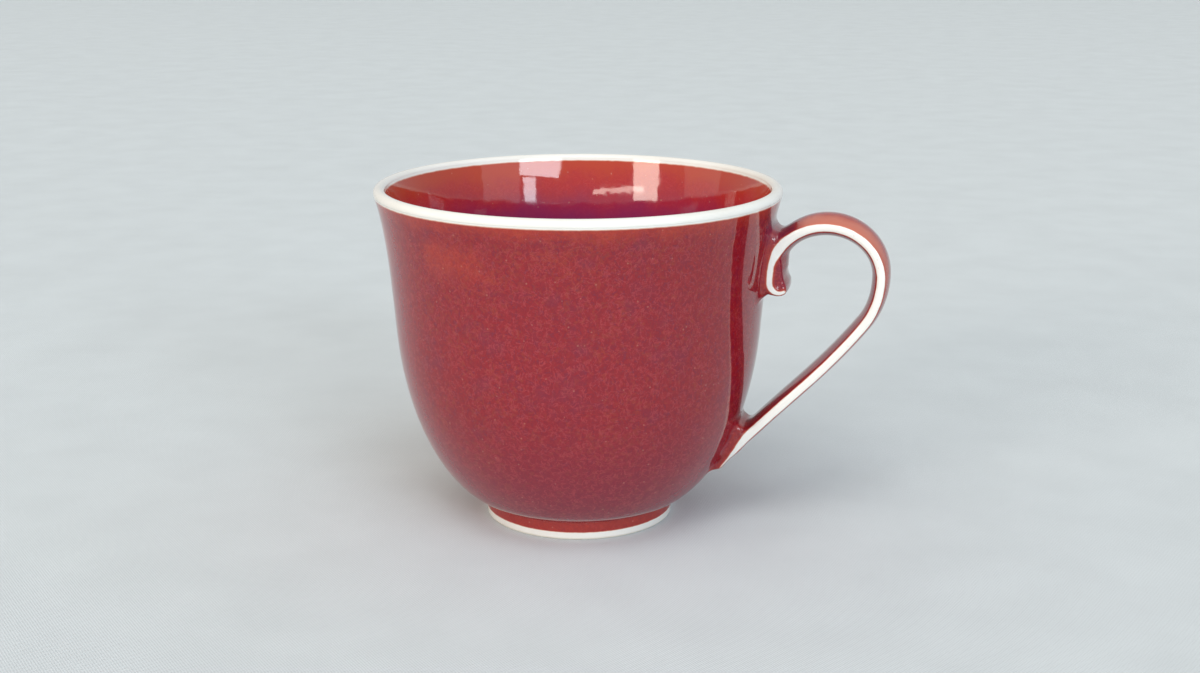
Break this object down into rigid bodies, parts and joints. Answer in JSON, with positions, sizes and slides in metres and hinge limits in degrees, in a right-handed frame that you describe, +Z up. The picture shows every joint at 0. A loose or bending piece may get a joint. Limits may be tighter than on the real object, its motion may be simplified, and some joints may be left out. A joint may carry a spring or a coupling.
{
  "type": "coffee cup",
  "caption": "Footed porcelain coffee cup with a flared lip, a strap handle that rolls into a scroll at the top, and red glaze that stops short of the lip, the foot and the strap's edges.",
  "frame": {"origin": "on the plane the foot stands on, under the middle of the cup's box, handle included", "axes": "+Z up along the bowl's axis, +X towards the handle, +Y across the handle"},
  "size_m": [0.1092, 0.0858, 0.0724],
  "materials": {
    "porcelain": "warm white porcelain, glossy where a clear glaze covers it and satin on the foot's bottom edge",
    "red_glaze": "glossy copper red glaze, mottled crimson with fine darker flecks, orange where it is thin",
    "thin_glaze": "slip under thin glossy glaze, orange red"
  },
  "bodies": {
    "root": {"cup_body": "porcelain", "outside_glaze": "red_glaze", "inside_glaze": "red_glaze", "handle": "porcelain", "handle_outer_glaze": "red_glaze", "handle_inner_glaze": "red_glaze", "upper_joint": "thin_glaze", "lower_joint": "thin_glaze"}
  },
  "joints": []
}
